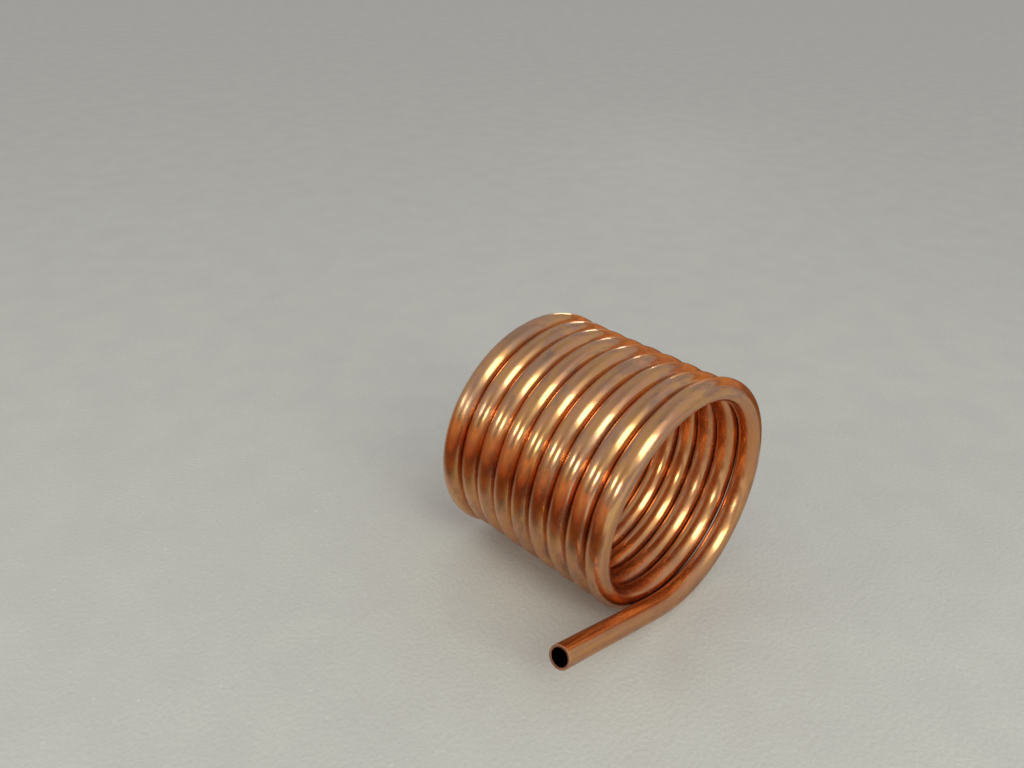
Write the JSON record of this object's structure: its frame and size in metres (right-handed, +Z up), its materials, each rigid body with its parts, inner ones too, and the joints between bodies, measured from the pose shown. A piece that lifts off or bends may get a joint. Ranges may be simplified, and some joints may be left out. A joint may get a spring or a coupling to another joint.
{
  "type": "copper tube coil",
  "caption": "Close-wound coil of soft copper tube lying on its side, open right through, with a straight tail at each end.",
  "frame": {"origin": "on the floor, at the middle of the footprint of the whole piece, tails included", "axes": "+Y along the coil axis from the open front mouth to the back, +X to the right seen from the front, +Z up"},
  "size_m": [0.2474, 0.1324, 0.132],
  "materials": {
    "copper": "bright drawn copper, semi-gloss"
  },
  "bodies": {
    "root": {"tube_coil": "copper"}
  },
  "joints": []
}
